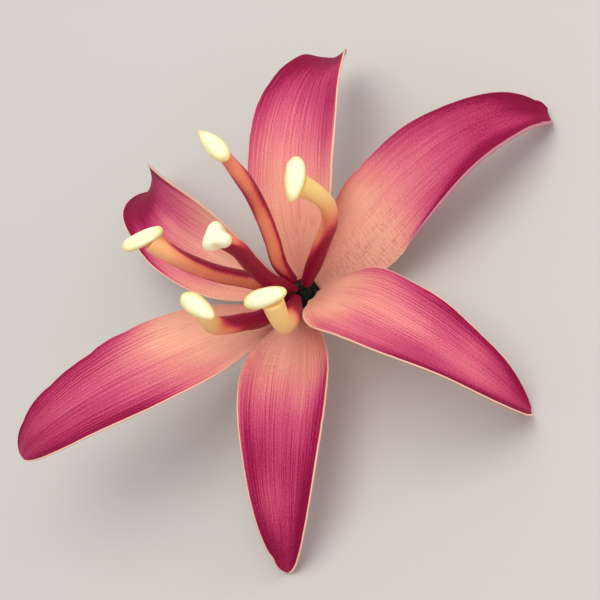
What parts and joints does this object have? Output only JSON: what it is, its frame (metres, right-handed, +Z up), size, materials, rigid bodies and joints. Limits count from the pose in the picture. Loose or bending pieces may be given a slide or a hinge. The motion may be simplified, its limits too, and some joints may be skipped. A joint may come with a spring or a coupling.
{
  "type": "sugar-paste lily bloom",
  "caption": "Open lily bloom modelled in sugar paste, with recurved petals, thick stamens and a lobed pistil, cut short and laid on its back.",
  "frame": {"origin": "centre of the bounding box, on the surface that the bloom lies on", "axes": "+Z up from the surface, close to the bloom's own axis; +Y towards the top petal; +X towards the right-hand petals"},
  "size_m": [0.1268, 0.1324, 0.0506],
  "materials": {
    "petal": "matte sugar paste, dusted peach at the root to magenta at the tip",
    "filament": "matte sugar paste, orange with a crimson dusted foot",
    "anther": "smooth satin sugar paste, pale yellow",
    "style": "matte sugar paste, dusted crimson",
    "floral_tape": "waxy wound paper tape, dark green"
  },
  "bodies": {
    "root": {"petal_top": "petal", "petal_upper_right": "petal", "petal_right": "petal", "petal_bottom": "petal", "petal_left": "petal", "petal_upper_left": "petal", "filament_upper": "filament", "filament_right": "filament", "filament_left": "filament", "filament_lower_left": "filament", "filament_lower": "filament", "anther_upper": "anther", "anther_right": "anther", "anther_left": "anther", "anther_lower_left": "anther", "anther_lower": "anther", "style": "style", "stigma": "anther", "stem": "floral_tape"}
  },
  "joints": []
}
